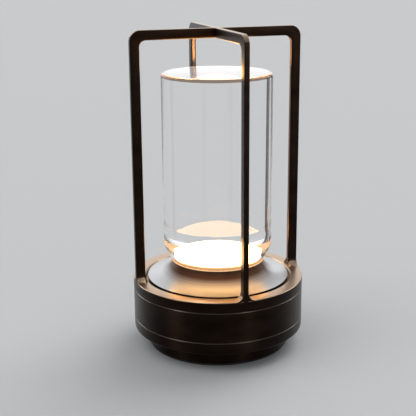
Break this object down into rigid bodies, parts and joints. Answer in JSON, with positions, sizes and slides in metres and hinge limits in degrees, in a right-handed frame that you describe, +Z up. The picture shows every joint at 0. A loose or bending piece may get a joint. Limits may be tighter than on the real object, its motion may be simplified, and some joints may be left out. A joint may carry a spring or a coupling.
{
  "type": "led lantern",
  "caption": "Cordless table lantern: round turned base, solid clear crystal lit from below, rigid cage of posts with crossed bars to carry it by.",
  "frame": {"origin": "on the table plane, under the lantern's axis, at the bottom centre of the whole lantern", "axes": "+Z up along the lantern's axis, -Y to the front, +Y to the key and charging port, posts on the diagonals"},
  "size_m": [0.11, 0.11, 0.2035],
  "materials": {
    "body_metal": "satin dark bronze, turned and anodised look",
    "pedestal_metal": "satin turned metal",
    "crystal_glass": "polished clear, with a frosted recess over the light",
    "opal": "opal diffuser, lit warm white, emissive",
    "foot_rubber": "matte",
    "steel": "plain zinc finish",
    "tray_plastic": "moulded, matte",
    "cell_wrap": "shrink-wrapped cell",
    "nickel": "bright strip",
    "foam": "closed-cell foam",
    "board_green": "solder resist",
    "board_white": "white solder resist",
    "part_black": "moulded component bodies",
    "chip_yellow": "phosphor-coated chips",
    "pad_grey": "thermal pad",
    "connector_white": "moulded connector",
    "light_pipe": "clear light pipe",
    "lead_red": "insulation",
    "lead_black": "insulation"
  },
  "bodies": {
    "housing": {"foot_pad": "foot_rubber", "bottom_cap": "body_metal", "cap_screws": "steel", "body_band": "body_metal", "cage": "body_metal", "cage_screws": "steel", "pedestal": "pedestal_metal", "pedestal_screws": "steel", "thermal_pad": "pad_grey", "led_board": "board_white", "led_board_screws": "steel", "led_chips": "chip_yellow", "diffuser": "opal", "crystal": "crystal_glass", "battery_tray": "tray_plastic", "battery_cell_1": "cell_wrap", "battery_cell_2": "cell_wrap", "positive_tab": "nickel", "negative_tab": "nickel", "series_strip": "nickel", "cell_foam": "foam", "control_board": "board_green", "board_screws": "steel", "board_components": "part_black", "usb_socket": "steel", "usb_tongue": "part_black", "tact_switch": "part_black", "cover_pin": "steel", "charge_light": "light_pipe", "battery_plug": "connector_white", "battery_lead_positive": "lead_red", "battery_lead_negative": "lead_black", "led_plug": "connector_white", "led_lead_positive": "lead_red", "led_lead_negative": "lead_black"},
    "power_key": {"power_key": "body_metal", "switch_plunger": "part_black"},
    "port_cover": {"port_cover": "body_metal"}
  },
  "joints": [
    {"name": "key_press", "type": "slide", "parent": "housing", "child": "power_key", "axis": [-0.4067, -0.9135, 0], "range_m": [0, 0.0008], "stiffness_N_per_m": 1200, "springref_m": -0.0006},
    {"name": "cover_hinge", "type": "hinge", "parent": "housing", "child": "port_cover", "pos_m": [0, 0.05345, 0.02383], "axis": [-1, 0, 0], "range_deg": [0, 100]}
  ]
}
